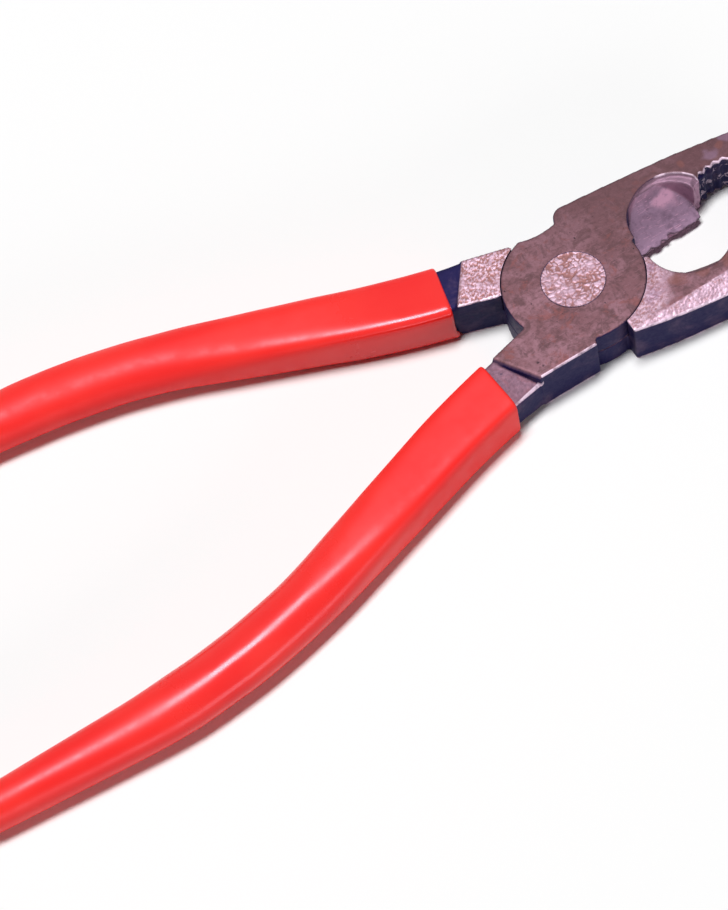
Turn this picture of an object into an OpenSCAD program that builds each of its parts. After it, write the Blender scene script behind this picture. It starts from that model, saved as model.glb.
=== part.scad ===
// Riveted combination pliers, lying open on a flat surface.
// The origin is on the rivet's axis at the flat back face. +X points to the jaws along the bisector of the
// two handles, +Y to the upper jaw's side, +Z up through the thickness.
// The front half carries the upper jaw and the handle at -Y, and its boss lies on top in the lap joint.
// The rear half carries the lower jaw and the handle at +Y, and its boss lies underneath.

/* [Overall] */
// Distance from the rivet to the jaw tips
jaw_length = 51.5; // [50:0.5:54]
// Distance from the rivet to the rear ends of the grips
handle_length = 149.5; // [145:0.5:160]
// Thickness of the forged head
head_thickness = 10.5; // [9.5:0.1:11.5]

/* [Lap joint] */
// Radius of each round boss
boss_radius = 14; // [13.6:0.1:14.4]
// Running gap round each boss
boss_clearance = 0.1; // [0.05:0.05:0.2]
// Running gap between the two bosses
lap_clearance = 0.06; // [0.04:0.02:0.12]
// Depth of the ground dip in the front boss, next to the upper jaw's shoulder
boss_dip = 1.5; // [0.8:0.1:2]
// Radius of the ground dip
boss_dip_radius = 14.4; // [12:0.2:18]

/* [Rivet] */
// Radius of the rivet's shank
rivet_radius = 5; // [4:0.1:5.4]
// Radius of the two flush heads
rivet_head_radius = 6.3; // [6:0.1:7]
// Depth of the two countersunk heads
rivet_head_depth = 1.4; // [1:0.1:2]
// Radial gap in the front half, which turns on the rivet
rivet_running_clearance = 0.05; // [0.02:0.01:0.1]
// Radial gap in the rear half, which the rivet is pressed into
rivet_press_clearance = 0.01; // [0.01:0.01:0.02]

/* [Opening at rest] */
// Angle of the upper jaw's mating line above the X axis
upper_jaw_angle = 6; // [4:0.5:8]
// Angle of the lower jaw's mating line below the X axis
lower_jaw_angle = 12.5; // [10:0.5:14]
// Gap from each jaw to the mating line when closed
mating_clearance = 0.05; // [0.02:0.01:0.1]

/* [Jaw backs] */
// Height of each jaw's shoulder over the mating line
shoulder_height = 15; // [14.8:0.1:16]
// Distance from the rivet to the foot of the upper jaw's shoulder
upper_shoulder_start = 4.8; // [4.4:0.1:5.4]
// Rounding of the upper jaw's shoulder
upper_shoulder_round = 2.6; // [1.5:0.1:3]
// Distance from the rivet to the foot of the lower jaw's shoulder, along the mating line
lower_shoulder_start = 7.2; // [7:0.1:8]
// Rounding of the lower jaw's shoulder
lower_shoulder_round = 0.5; // [0.3:0.1:1]
// Outward bow of the upper jaw's back
upper_back_bow = 0.3; // [0:0.1:0.8]
// Outward bow of the lower jaw's back
lower_back_bow = 1.3; // [0.8:0.1:1.8]
// Height of each jaw at its tip
tip_height = 7.4; // [6.5:0.1:8.5]
// Rounding of the jaw tips
tip_round = 2; // [1:0.1:3]
// Distance from the rivet at which the jaws start to thin
taper_start = 31; // [28:0.5:36]
// Thinning of each face at the tip
tip_taper = 1.2; // [0.6:0.1:1.6]

/* [Marks strip on the lower jaw] */
// Slope of the ground strip
strip_slope = 20; // [14:1:24]
// Height over the mating line of the strip's inner edge, at the shoulder
strip_near_height = 14.6; // [14:0.1:14.8]
// Height over the mating line of the strip's inner edge, at strip_length from the rivet
strip_far_height = 8.5; // [7.6:0.1:9.5]
// Distance from the rivet to the strip's far point
strip_length = 28; // [24:1:36]

/* [Cutter] */
// Distance from the rivet to the outer end of the cutter
cutter_end = 30.5; // [29.6:0.1:31.4]
// Height of the cutting edge over the back face
edge_height = 2.2; // [1.6:0.1:2.8]
// Width of the bevel under the cutting edge, on the back face
edge_bevel = 1.9; // [1:0.1:2.4]
// Radius of the upper jaw's round scoop
upper_scoop_radius = 8.1; // [7.6:0.1:8.3]
// Distance from the rivet to the upper scoop's centre
upper_scoop_x = 22.9; // [22.8:0.1:24]
// Radius of the shallow step round the upper scoop
step_radius = 8.8; // [8.5:0.1:9.2]
// Distance from the rivet to the step's centre
step_x = 24.3; // [24:0.1:25]
// Depth of the shallow step
step_depth = 0.7; // [0.4:0.1:1.2]
// Radius of the lower jaw's scoop
lower_scoop_radius = 8.7; // [8:0.1:9.2]
// Distance from the rivet to the lower scoop's centre
lower_scoop_x = 23.5; // [23:0.1:24.2]
// Distance that the lower scoop's centre lies outside the lower jaw
lower_scoop_offset = 2.1; // [1.6:0.1:2.8]
// Radius of the hollow that the cutter wheel left in both scoops
scoop_hollow_radius = 14; // [11:0.5:20]
// Depth of the hollow worn along the lower blade
blade_hollow = 1.5; // [0.8:0.1:1.8]

/* [Pipe grip and tip teeth] */
// Distance from the rivet at which the pipe grip's arc leaves the mating line, inside the cutter's end
pipe_grip_start = 28.8; // [28:0.1:29.4]
// Length of the round pipe grip
pipe_grip_length = 14.7; // [13:0.1:16]
// Depth of the pipe grip in each jaw
pipe_grip_depth = 4; // [3:0.1:4.6]
// Pitch of the pipe grip's teeth
pipe_tooth_pitch = 1.74; // [1.4:0.02:2.4]
// Depth of the pipe grip's teeth
pipe_tooth_depth = 0.6; // [0.3:0.05:0.8]
// Pitch of the fine teeth on the flat tips
tip_tooth_pitch = 1.25; // [0.8:0.05:1.8]
// Depth of the fine teeth
tip_tooth_depth = 0.4; // [0.2:0.05:0.6]

/* [Necks and tangs] */
// Height over the X axis at which each neck leaves its boss
neck_root_height = 4.3; // [3.6:0.1:5]
// Half the width of each neck
neck_half_width = 4.9; // [4.5:0.1:5.2]
// Where the ground flat ends on the neck's inner edge
flat_end_inner = 20.4; // [19:0.1:20.6]
// Where the ground flat ends on the neck's outer edge
flat_end_outer = 16.8; // [16.4:0.1:18.4]
// Width of the bevel at the end of the ground flat
flat_end_bevel = 0.6; // [0.3:0.1:0.7]
// Reach of the front neck towards the lower jaw, behind the rivet
front_neck_reach = 3.4; // [3.2:0.1:5]
// Height of the front neck's shoulder over the X axis
front_neck_height = 14.9; // [14.6:0.1:15.2]
// Reach of the rear neck towards the upper jaw, behind the rivet
rear_neck_reach = 6.8; // [6.2:0.1:8]
// Height of the rear neck's shoulder over the X axis
rear_neck_height = 13.3; // [13:0.1:13.6]
// Drop of a tang's outer edge below its inner edge, on the face that the ground flat is on
tang_lean = 2; // [0:0.1:2.4]

/* [Handles at rest] */
// Height of the handle's centre line over the X axis where the neck ends
handle_root_height = 10.5; // [10.1:0.1:10.8]
// Slope of the centre line where the neck ends
handle_root_slope = 12.2; // [11:0.2:14]
// Slope of the straight stretch of the handle
handle_slope = 20.5; // [19:0.5:22]
// Where the straight stretch starts behind the rivet
straight_start = 40; // [36:1:44]
// Where the straight stretch ends behind the rivet
straight_end = 67.5; // [60:0.5:72]
// Radius of the bend that turns the handle parallel to the X axis
bend_radius = 137; // [120:1:150]

/* [Grips] */
// Distance behind the rivet of the front sleeve's mouth
front_grip_start = 23.4; // [22.8:0.1:26]
// Distance behind the rivet of the rear sleeve's mouth
rear_grip_start = 22; // [21.8:0.1:26]
// Turn of the front sleeve's mouth that brings its inner side nearer the rivet
front_mouth_slant = 8; // [0:1:9]
// Turn of the rear sleeve's mouth that brings its inner side nearer the rivet
rear_mouth_slant = 4; // [0:1:5]
// Length over which the turn of the mouth fades
mouth_slant_length = 20; // [15:1:30]
// Width of the sleeve at its mouth
grip_front_width = 11.9; // [11.8:0.1:12.6]
// Width of the sleeve where the palm lies
grip_palm_width = 11.8; // [11.2:0.1:12.6]
// Width of the sleeve at its rear end
grip_end_width = 8; // [7.8:0.1:9.4]
// Height of the sleeve at its mouth
grip_front_height = 10.5; // [10:0.1:11]
// Height of the sleeve where the palm lies
grip_palm_height = 9.8; // [9.2:0.1:10.4]
// Height of the sleeve at its rear end
grip_end_height = 8.6; // [8:0.1:9.4]
// Where the palm's width is reached behind the rivet
palm_position = 104; // [98:1:112]
// Length over which the sleeve's section changes from nearly square to oval
grip_square_length = 54; // [44:1:70]
// Wall of the sleeve at its sides
grip_side_wall = 1; // [0.8:0.1:1.2]
// Wall of the sleeve over and under the tang
grip_face_wall = 0.7; // [0.6:0.1:1.2]
// Wall of the sleeve behind the tang
grip_end_wall = 4; // [3:0.1:6]
// Length of the sleeve's rounded rear end
grip_end_round = 5; // [4:0.1:6]
// Rounding of the sleeve's mouth
grip_mouth_round = 0.6; // [0.4:0.1:0.8]
// Gap between sleeve and tang
sleeve_clearance = 0.05; // [0.02:0.01:0.1]

/* [Hidden] */
// Facets of the round cuts and of the large round faces
round_facets = 96;
large_facets = 2 * round_facets;
// Sides of each lofted section
section_sides = 24;
// Rings along each handle between its ends
handle_rings = 20;
// Rings in each rounded end of a sleeve
end_rings = 4;
// Points along each jaw's back and round each of its corners
back_steps = 12;
corner_steps = 5;
// Spare length of every cutting solid past the surface that it cuts
over = 1;
// Squareness of the sleeve's section and of the tang's, at the front and at the rear
sleeve_squareness = [7, 2.1];
tang_squareness = [12, 2.3];
squareness_fade = 1.3;
// How far the rear dome of a sleeve turns in, short of a point
dome_turn = 84;
// Where each jaw's shoulder runs into the boss, from the boss's edge and from the shoulder
shoulder_sink = 2;
shoulder_undercut = 0.7;
// Directions in which the round of a jaw's tip ends, and between which the round of its shoulder runs
tip_round_end = 80;
shoulder_round_ends = [100, 165];
// Where each neck's shoulder runs into the boss, from the boss's edge and from the shoulder
neck_sink = 3;
neck_undercut = 0.8;
// Where the tangs start inside the necks
neck_start = 16;
lap_plane = head_thickness / 2;
tip_flat_start = pipe_grip_start + pipe_grip_length;
tang_end = handle_length - grip_end_wall;
steel = [0.55, 0.45, 0.46];
bright_steel = [0.80, 0.68, 0.70];
sleeve_red = [0.98, 0.20, 0.16];

// The handle's centre line at a distance u behind the rivet: a gentle arc, a straight stretch, then the bend
neck_arc_radius = (straight_start - neck_start) / (sin(handle_slope) - sin(handle_root_slope));
bend_end = straight_end + bend_radius * sin(handle_slope);
function limit(v, low, high) = max(low, min(high, v));
function arc_run(u) = limit(u, neck_start, straight_start) - neck_start;
function arc_slope(u) = asin(sin(handle_root_slope) + arc_run(u) / neck_arc_radius);
function bend_run(u) = limit(u, straight_end, bend_end) - straight_end;
function bend_slope(u) = asin(sin(handle_slope) - bend_run(u) / bend_radius);
function slope(u) = u < straight_start ? arc_slope(u) : bend_slope(u);
function centre_height(u) =
    handle_root_height - max(0, neck_start - u) * tan(handle_root_slope)
    + neck_arc_radius * (cos(handle_root_slope) - cos(arc_slope(u)))
    + (limit(u, straight_start, straight_end) - straight_start) * tan(handle_slope)
    + bend_radius * (cos(bend_slope(u)) - cos(handle_slope));
// A point at a distance u behind the rivet, and at an offset from the centre line away from the other handle
function beside(u, offset) = [-u + offset * sin(slope(u)), centre_height(u) + offset * cos(slope(u))];

// The sleeve's half width and half height along the handle
grip_taper_start = (front_grip_start + rear_grip_start) / 2;
function blend(u, a, b, c) =
    u < palm_position
    ? a + (b - a) * (u - grip_taper_start) / (palm_position - grip_taper_start)
    : b + (c - b) * (u - palm_position) / (handle_length - palm_position);
function half_width(u) = blend(u, grip_front_width, grip_palm_width, grip_end_width) / 2;
function half_height(u) =
    blend(max(u, grip_taper_start), grip_front_height, grip_palm_height, grip_end_height) / 2;
function square_share(u) = limit(1 - (u - grip_taper_start) / grip_square_length, 0, 1);
function squareness(u, ends) = ends[1] + (ends[0] - ends[1]) * pow(square_share(u), squareness_fade);
function tang_half_width(u) = min(half_width(u) - grip_side_wall, neck_half_width);
function face_wall(u) =
    grip_face_wall * min(1, (u - neck_start) / (grip_taper_start - neck_start));
function tang_half_height(u) = half_height(u) - face_wall(u);
function lean(u) = tang_lean * max(0, (palm_position - u) / (palm_position - neck_start));

// One ring of a loft: a rounded rectangle across the handle, whose middle is level with the sleeve's.
// A skew shifts it along the handle in proportion to the offset. A drop lowers the outer edge of the top,
// and a negative drop raises the outer edge of the bottom.
function power(v, n) = sign(v) * pow(abs(v), 2 / n);
function ring(u, w, h, ends, skew = 0, drop = 0) = [
    for (i = [0 : section_sides - 1])
        let (
            a = 360 * i / section_sides,
            n = squareness(u, ends),
            offset = w * power(cos(a), n),
            rise = power(sin(a), n),
            p = beside(u + skew * offset, offset)
        )
        [p.x, p.y, half_height(u) + h * rise - max(0, sign(drop) * rise) * drop * (w + offset) / (2 * w)]
];

// A closed solid through a list of rings
module loft(rings) {
    n = section_sides;
    last = len(rings) - 1;
    cells = [for (k = [0 : last - 1]) for (i = [0 : n - 1]) [k * n + i, k * n + (i + 1) % n]];
    polyhedron(
        points = [for (r = rings) for (p = r) p],
        faces = concat(
            [[for (i = [n - 1 : -1 : 0]) i]],
            [for (c = cells) [c[0], c[1] + n, c[0] + n]],
            [for (c = cells) [c[0], c[1], c[1] + n]],
            [[for (i = [0 : n - 1]) last * n + i]]
        ),
        convexity = 4
    );
}

// The steel tang at +Y, from inside the neck to its rear end, made larger by the gap where it cuts a sleeve.
// Its leaning face is the top one for a side of 1 and the bottom one for a side of -1.
module tang(gap, side) {
    run = tang_end + gap - neck_start;
    loft([
        for (k = [0 : handle_rings])
            let (u = neck_start + run * k / handle_rings)
            ring(u, tang_half_width(u) + gap, tang_half_height(u) + gap, tang_squareness, 0, side * lean(u))
    ]);
}

// The outside of a sleeve at +Y, with a rounded and turned mouth and a domed rear end
module sleeve_outside(start, slant) {
    body_start = start + grip_mouth_round;
    body_end = handle_length - grip_end_round;
    mouth = [
        for (k = [0 : end_rings - 1])
            let (
                a = 90 * k / end_rings,
                cut = grip_mouth_round * (1 - sin(a)),
                u = start + grip_mouth_round * (1 - cos(a))
            )
            ring(u, half_width(u) - cut, half_height(u) - cut, sleeve_squareness, tan(slant))
    ];
    body = [
        for (k = [0 : handle_rings])
            let (
                u = body_start + (body_end - body_start) * k / handle_rings,
                fade = max(0, 1 - (u - body_start) / mouth_slant_length)
            )
            ring(u, half_width(u), half_height(u), sleeve_squareness, tan(slant) * fade)
    ];
    dome = [
        for (k = [1 : end_rings])
            let (
                a = dome_turn * k / end_rings,
                u = body_end + grip_end_round * sin(a)
            )
            ring(u, half_width(u) * cos(a), half_height(u) * cos(a), sleeve_squareness)
    ];
    loft(concat(mouth, body, dome));
}

// A sleeve at +Y, hollow round its tang
module sleeve(start, slant, side) {
    difference() {
        sleeve_outside(start, slant);
        tang(sleeve_clearance, side);
    }
}

// The jaw's mating edge from the rivet to the tip, in the closed position with the jaw above the line
pipe_half = pipe_grip_length / 2;
pipe_radius = (pipe_half * pipe_half + pipe_grip_depth * pipe_grip_depth) / (2 * pipe_grip_depth);
function pipe_height(x) =
    let (dx = x - pipe_grip_start - pipe_half)
    mating_clearance + sqrt(max(0, pipe_radius * pipe_radius - dx * dx)) - (pipe_radius - pipe_grip_depth);
pipe_teeth = round((tip_flat_start - cutter_end) / pipe_tooth_pitch);
pipe_step = (tip_flat_start - cutter_end) / pipe_teeth;
tip_teeth = floor((jaw_length - tip_flat_start) / tip_tooth_pitch);
mating_edge = concat(
    [[0, mating_clearance], [cutter_end, mating_clearance]],
    [
        for (i = [0 : pipe_teeth - 1])
            let (
                x = cutter_end + i * pipe_step,
                middle = x + pipe_step / 2
            )
            each [[x, pipe_height(x)], [middle, pipe_height(middle) + pipe_tooth_depth]]
    ],
    [
        for (i = [0 : tip_teeth - 1])
            let (x = tip_flat_start + i * tip_tooth_pitch)
            each [[x, mating_clearance], [x + tip_tooth_pitch / 2, mating_clearance + tip_tooth_depth]]
    ],
    [[tip_flat_start + tip_teeth * tip_tooth_pitch, mating_clearance]]
);

// Points on an arc about a centre, from one angle to another
function arc(centre, r, from, to) = [
    for (i = [0 : corner_steps])
        let (a = from + (to - from) * i / corner_steps)
        centre + r * [cos(a), sin(a)]
];

// Points along a jaw's back, from the tip to the shoulder
function back_line(tip, shoulder, bow) = [
    for (i = [0 : back_steps])
        let (t = i / back_steps)
        tip + (shoulder - tip) * t + [0, 4 * bow * t * (1 - t)]
];

// A jaw in the closed position, above the mating line
module jaw_outline(shoulder_start, shoulder_round, bow) {
    shoulder_x = shoulder_start + shoulder_round;
    tip_x = jaw_length - tip_round;
    polygon(concat(
        mating_edge,
        [[jaw_length, mating_clearance + tip_tooth_depth]],
        arc([tip_x, tip_height - tip_round], tip_round, 0, tip_round_end),
        back_line([tip_x, tip_height], [shoulder_x, shoulder_height], bow),
        arc(
            [shoulder_x, shoulder_height - shoulder_round],
            shoulder_round, shoulder_round_ends[0], shoulder_round_ends[1]
        ),
        [[shoulder_start - shoulder_undercut, boss_radius - shoulder_sink]]
    ));
}

// Cuts that thin both faces of a jaw towards its tip
module tip_thinning() {
    run = jaw_length - taper_start;
    for (face = [0, 1])
        translate([taper_start, 0, face * head_thickness])
            mirror([0, 0, 1 - face])
                rotate([0, atan(tip_taper / run), 0])
                    translate([0, -over, 0])
                        cube([2 * run, shoulder_height + 2 * over, head_thickness]);
}

// A scoop: a round pocket in the front face, with a hollow floor that runs down to the cutting edge
module scoop(x, y, radius, edge_y) {
    top_y = y + radius;
    drop = head_thickness - edge_height;
    chord = norm([top_y - edge_y, drop]);
    rise = sqrt(scoop_hollow_radius * scoop_hollow_radius - chord * chord / 4);
    floor_y = (edge_y + top_y) / 2 - rise * drop / chord;
    floor_z = (edge_height + head_thickness) / 2 + rise * (top_y - edge_y) / chord;
    intersection() {
        translate([x, y, edge_height - over])
            cylinder(r = radius, h = drop + 3 * over, $fn = round_facets);
        translate([x - radius - over, floor_y, floor_z])
            rotate([0, 90, 0])
                cylinder(r = scoop_hollow_radius, h = 2 * (radius + over), $fn = large_facets);
    }
}

// Turn of the bevel under a cutting edge from the back face
edge_turn = atan(edge_height / edge_bevel);

// The upper jaw, above the mating line
module upper_jaw() {
    scoop_start = upper_scoop_x - upper_scoop_radius;
    difference() {
        linear_extrude(head_thickness)
            jaw_outline(upper_shoulder_start, upper_shoulder_round, upper_back_bow);
        tip_thinning();
        scoop(upper_scoop_x, 0, upper_scoop_radius, 0);
        translate([step_x, 0, head_thickness - step_depth])
            cylinder(r = step_radius, h = step_depth + over, $fn = round_facets);
        translate([scoop_start, 0, edge_height])
            rotate([-edge_turn, 0, 0])
                translate([0, -2 * edge_height, -2 * edge_height])
                    cube([cutter_end - scoop_start, 4 * edge_height, 2 * edge_height]);
    }
}

// The lower jaw, modelled above the mating line like the upper one
module lower_jaw() {
    blade_half = (cutter_end - over - lower_scoop_x + lower_scoop_radius - over) / 2;
    hollow_radius = (blade_half * blade_half + blade_hollow * blade_hollow) / (2 * blade_hollow);
    strip_turn = atan((strip_near_height - strip_far_height) / (strip_length - lower_shoulder_start));
    difference() {
        linear_extrude(head_thickness)
            jaw_outline(lower_shoulder_start, lower_shoulder_round, lower_back_bow);
        tip_thinning();
        scoop(lower_scoop_x, -lower_scoop_offset, lower_scoop_radius, blade_hollow / 2);
        translate([lower_scoop_x, blade_hollow - hollow_radius, -over])
            cylinder(r = hollow_radius, h = head_thickness + 2 * over, $fn = large_facets);
        translate([lower_scoop_x, blade_hollow - hollow_radius, 0])
            cylinder(
                r1 = hollow_radius + edge_bevel, r2 = hollow_radius, h = edge_height, $fn = large_facets
            );
        translate([lower_shoulder_start, strip_near_height, head_thickness])
            rotate([0, 0, -strip_turn])
                rotate([-strip_slope, 0, 0])
                    translate([-2 * over, 0, 0])
                        cube([2 * jaw_length, shoulder_height, head_thickness]);
    }
}

// The end of the ground flat as a line across the neck, its turn from the X axis, and the foot of its bevel
flat_inner = beside(flat_end_inner, -neck_half_width);
flat_outer = beside(flat_end_outer, neck_half_width);
flat_turn = atan2(flat_outer.y - flat_inner.y, flat_outer.x - flat_inner.x);
bevel_foot = flat_end_bevel * [-sin(flat_turn), cos(flat_turn)];

// The neck at +Y at full thickness, with both flats bevelled where they end
module neck(reach, height) {
    bevel_size = 2 * neck_half_width + 4 * over;
    difference() {
        linear_extrude(head_thickness)
            polygon([
                [-boss_radius / 2, neck_root_height / 2],
                [-sqrt(pow(boss_radius, 2) - pow(neck_root_height, 2)), neck_root_height],
                flat_inner,
                flat_inner + bevel_foot,
                flat_outer + bevel_foot,
                flat_outer,
                [-reach, height],
                [-reach + neck_undercut, boss_radius - neck_sink]
            ]);
        for (face = [0, 1])
            translate([flat_inner.x, flat_inner.y, face * head_thickness])
                mirror([0, 0, 1 - face])
                    rotate([0, 0, flat_turn])
                        translate([-2 * over, 0, 0])
                            rotate([-45, 0, 0])
                                cube(bevel_size);
    }
}

// A round plate between two heights: a boss, or with a gap what the other half's boss needs
module plate(low, high, gap = 0) {
    translate([0, 0, low])
        cylinder(r = boss_radius + gap, h = high - low, $fn = large_facets);
}

// One countersunk head, from its face inwards, larger than the rivet's by the gap
module countersink(gap) {
    cylinder(
        r1 = rivet_head_radius + gap, r2 = rivet_radius + gap, h = rivet_head_depth, $fn = round_facets
    );
}

// Both countersunk heads
module countersinks(gap) {
    for (face = [0, 1])
        translate([0, 0, face * head_thickness])
            mirror([0, 0, face])
                countersink(gap);
}

// The rivet's hole through a half with its countersinks
module rivet_hole(gap) {
    translate([0, 0, -over])
        cylinder(r = rivet_radius + gap, h = head_thickness + 2 * over, $fn = round_facets);
    countersinks(gap);
}

// Top boss, with the ground dip next to the upper jaw's shoulder
module front_boss(low) {
    difference() {
        plate(low, head_thickness);
        translate([-boss_dip / 3, boss_radius - boss_dip + boss_dip_radius, low - over])
            cylinder(r = boss_dip_radius, h = head_thickness - low + 2 * over, $fn = large_facets);
    }
}

// Upper jaw, top boss and the handle at -Y
module front_half() {
    low = lap_plane + lap_clearance / 2;
    color(steel)
        difference() {
            union() {
                difference() {
                    union() {
                        rotate([0, 0, upper_jaw_angle])
                            upper_jaw();
                        mirror([0, 1, 0]) {
                            neck(front_neck_reach, front_neck_height);
                            tang(0, 1);
                        }
                    }
                    plate(-over, low, boss_clearance);
                }
                front_boss(low);
            }
            rivet_hole(rivet_running_clearance);
        }
}

// Lower jaw, bottom boss and the handle at +Y
module rear_half() {
    high = lap_plane - lap_clearance / 2;
    color(bright_steel)
        difference() {
            union() {
                difference() {
                    union() {
                        rotate([0, 0, -lower_jaw_angle])
                            mirror([0, 1, 0])
                                lower_jaw();
                        neck(rear_neck_reach, rear_neck_height);
                        tang(0, -1);
                    }
                    plate(high, head_thickness + over, boss_clearance);
                }
                plate(0, high);
            }
            rivet_hole(rivet_press_clearance);
        }
}

// The joint rivet with both heads ground flush
module rivet() {
    color(bright_steel)
        union() {
            cylinder(r = rivet_radius, h = head_thickness, $fn = round_facets);
            countersinks(0);
        }
}

// Red sleeve on the front half's tang
module front_grip() {
    color(sleeve_red)
        mirror([0, 1, 0])
            sleeve(front_grip_start, front_mouth_slant, 1);
}

// Red sleeve on the rear half's tang
module rear_grip() {
    color(sleeve_red)
        sleeve(rear_grip_start, rear_mouth_slant, -1);
}

front_half();
rear_half();
rivet();
front_grip();
rear_grip();
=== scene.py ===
import math
import random

import bmesh
import bpy
import numpy as np
from mathutils import Matrix, Vector, kdtree, noise


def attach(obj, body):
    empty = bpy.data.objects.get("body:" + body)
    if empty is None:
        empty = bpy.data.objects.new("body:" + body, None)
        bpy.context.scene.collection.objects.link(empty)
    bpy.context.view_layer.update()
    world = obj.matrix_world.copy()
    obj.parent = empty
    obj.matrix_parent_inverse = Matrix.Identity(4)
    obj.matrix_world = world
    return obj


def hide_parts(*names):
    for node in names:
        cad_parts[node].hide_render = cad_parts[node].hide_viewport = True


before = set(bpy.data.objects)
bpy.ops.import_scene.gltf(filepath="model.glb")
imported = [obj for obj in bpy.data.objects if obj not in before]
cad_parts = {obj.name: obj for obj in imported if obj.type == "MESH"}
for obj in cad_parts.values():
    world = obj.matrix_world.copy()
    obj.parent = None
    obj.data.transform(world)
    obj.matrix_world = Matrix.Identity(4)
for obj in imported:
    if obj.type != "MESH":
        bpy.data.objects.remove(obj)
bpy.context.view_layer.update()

MM = 0.001

# Sizes and places that the part's source gives, in millimetres
HEAD_THICKNESS = 10.5
BOSS_RADIUS = 14.0
POCKET_RADIUS = 14.1
RIVET_HEAD_RADIUS = 6.3
RIVET_GAP = 0.05
UPPER_JAW_ANGLE = 6.0
LOWER_JAW_ANGLE = 12.5
UPPER_STEP = (24.3, 0.0, 8.8)
LOWER_SCOOP = (23.5, -2.1, 8.7)
CUTTER_START = 14.2
CUTTER_END = 30.5
PIPE_START = 28.8
PIPE_END = 43.5
PIPE_DEPTH = 4.0
EDGE_HEIGHT = 2.2
STRIP_NEAR = (7.2, 14.6)
STRIP_FAR = (28.0, 8.5)
NECK_HALF_WIDTH = 4.9
NECK_START = 16.0
FLAT_END = (20.4, 16.8)
HANDLE_ROOT_HEIGHT = 10.5
HANDLE_ROOT_SLOPE = math.radians(12.2)
HANDLE_SLOPE = math.radians(20.5)
STRAIGHT_START = 40.0
STRAIGHT_END = 67.5
BEND_RADIUS = 137.0
HANDLE_LENGTH = 149.5
GRIP_WIDTHS = (11.9, 11.8, 8.0)
GRIP_HEIGHTS = (10.5, 9.8, 8.6)
FRONT_GRIP_START = 23.4
REAR_GRIP_START = 22.0
FRONT_MOUTH_SLANT = math.radians(8)
REAR_MOUTH_SLANT = math.radians(4)
MOUTH_SLANT_LENGTH = 20.0
MOUTH_ROUND = 0.6
PALM_POSITION = 104.0
GRIP_SIDE_WALL = 1.0
GRIP_FACE_WALL = 0.7
GRIP_END_WALL = 4.0
GRIP_END_ROUND = 5.0
GRIP_SQUARE_LENGTH = 54.0
SLEEVE_SQUARENESS = (7.0, 2.1)
TANG_SQUARENESS = (12.0, 2.3)
SQUARENESS_FADE = 1.3
TANG_LEAN = 2.0
SLEEVE_CLEARANCE = 0.05

# The photograph's camera
PHOTO_SIZE = (728, 910)
RIVET_PIXEL = (573.2, 279.1)
FOCAL_PIXELS = 3000
CAMERA_DISTANCE = 573.9 * MM
CAMERA_ELEVATION = math.radians(60.27)
CAMERA_AZIMUTH = math.radians(-14.21)
CAMERA_ROLL = math.radians(-16.14)
SENSOR = 36.0

# Wear of the steel, with painted highlights on its edges: which edges are worn and highlit, how far the
# brightening reaches, and how deep the marks are
HIGHLIGHT_SIDE = Vector((-0.25, -0.97, 0))
RUBBED_ANGLE = math.radians(32)
LEAST_WEAR = 0.3
WEAR_REACH = (0.15, 0.65)
SEAM_REACH = (0.3, 0.8)
EDGE_SPACING = 0.3
FLAT_END_REACH = 0.8
UPRIGHT_SHARE = 0.6
WELD_DISTANCE = 1e-6
FLAT_TILT = (0.6, 0.85)
CHIP_SPACING = 0.6
CHIP_DEPTH = 1.1
BLADE_WIDTH = 2.4
PIT_DEPTH = 0.09
NET_WARP = 0.55
NET_LINE = (0.03, 0.3)
FORGING_NET = 0.72
RIVET_NET = 1.25
RIVET_GROUND = 0.8
DENT_DEPTH = 0.05
DENT_SIZE = 2.5
TOOTH_WEAR = 0.45
RIM_WEAR = 0.45

# Behind this place along the tool lie the necks and handles
NECK_SIDE = -5.0

# Fineness of the meshes: the voxels of the steel, and the facets and rings of the sleeves
STEEL_VOXEL = 0.22
RIVET_VOXEL = 0.16
SOFTENING = 0.5
SHARP_ANGLE = math.radians(50)
SLEEVE_SIDES = 96
SLEEVE_RINGS = 150
HOLLOW_RINGS = 40
MOUTH_RINGS = 6
END_RINGS = 8
END_ARC = math.radians(86)

# Unevenness of the dipped plastic, and the flap where it ran down at the rear grip's mouth
DIP_UNEVENNESS = 0.07
DIP_WAVE = 9
FLAP_HEIGHT = 0.3 * HEAD_THICKNESS
FLAP_RINGS = 14
FLAP_REACH = 1.5
FLAP_INWARD = 0.3


def limit(v, low, high):
    return max(low, min(high, v))


ARC_RADIUS = (STRAIGHT_START - NECK_START) / (math.sin(HANDLE_SLOPE) - math.sin(HANDLE_ROOT_SLOPE))
BEND_END = STRAIGHT_END + BEND_RADIUS * math.sin(HANDLE_SLOPE)
TAPER_START = (FRONT_GRIP_START + REAR_GRIP_START) / 2


def arc_slope(u):
    run = limit(u, NECK_START, STRAIGHT_START) - NECK_START
    return math.asin(math.sin(HANDLE_ROOT_SLOPE) + run / ARC_RADIUS)


def bend_slope(u):
    run = limit(u, STRAIGHT_END, BEND_END) - STRAIGHT_END
    return math.asin(math.sin(HANDLE_SLOPE) - run / BEND_RADIUS)


def slope(u):
    return arc_slope(u) if u < STRAIGHT_START else bend_slope(u)


def centre_height(u):
    return (
        HANDLE_ROOT_HEIGHT
        - max(0, NECK_START - u) * math.tan(HANDLE_ROOT_SLOPE)
        + ARC_RADIUS * (math.cos(HANDLE_ROOT_SLOPE) - math.cos(arc_slope(u)))
        + (limit(u, STRAIGHT_START, STRAIGHT_END) - STRAIGHT_START) * math.tan(HANDLE_SLOPE)
        + BEND_RADIUS * (math.cos(bend_slope(u)) - math.cos(HANDLE_SLOPE))
    )


def beside(u, offset):
    """The point at a distance u behind the rivet and at an offset from the handle's centre line"""
    s = slope(u)
    return -u + offset * math.sin(s), centre_height(u) + offset * math.cos(s)


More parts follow.
